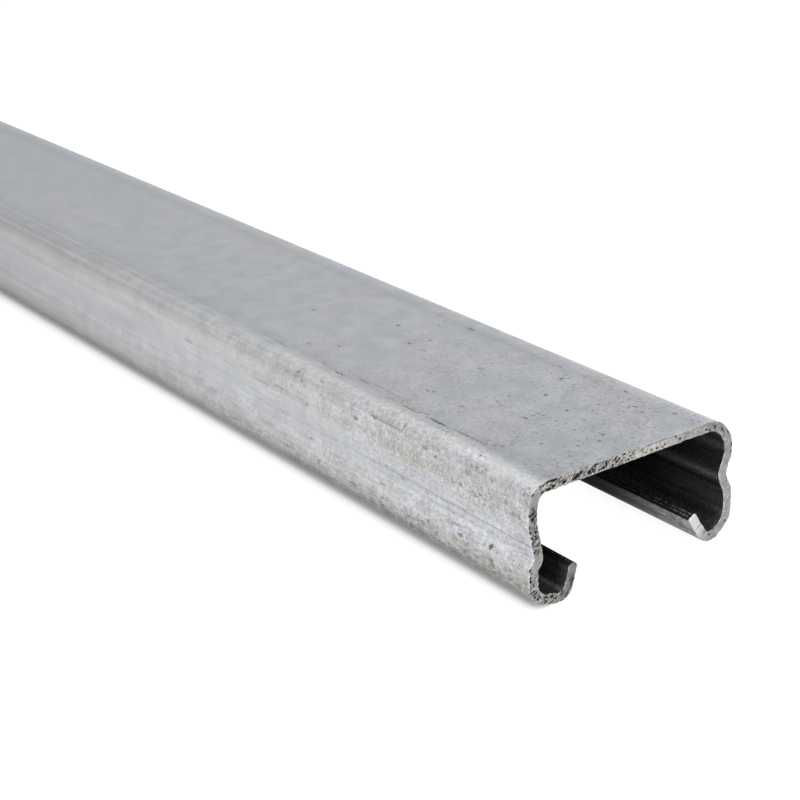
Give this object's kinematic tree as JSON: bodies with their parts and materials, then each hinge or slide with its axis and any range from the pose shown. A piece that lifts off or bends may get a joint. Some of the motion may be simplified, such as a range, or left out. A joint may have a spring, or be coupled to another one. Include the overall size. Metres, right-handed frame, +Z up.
{
  "type": "strut channel",
  "caption": "Shallow solid-web strut channel, rolled from galvanised strip: pinched legs, feet that return under the web, and leaning lips along a full-length slot, with square sawn ends.",
  "frame": {"origin": "on the floor, below the middle of the length and of the width", "axes": "+Y along the length, +Z up from the feet to the web, +X towards the leg with the narrower foot; the sawn end at -Y is the one that faces out"},
  "size_m": [0.0382, 0.6096, 0.0191],
  "materials": {
    "galvanised_steel": "galvanised strip, satin, with roll lines"
  },
  "bodies": {
    "root": {"strut_channel": "galvanised_steel"}
  },
  "joints": []
}
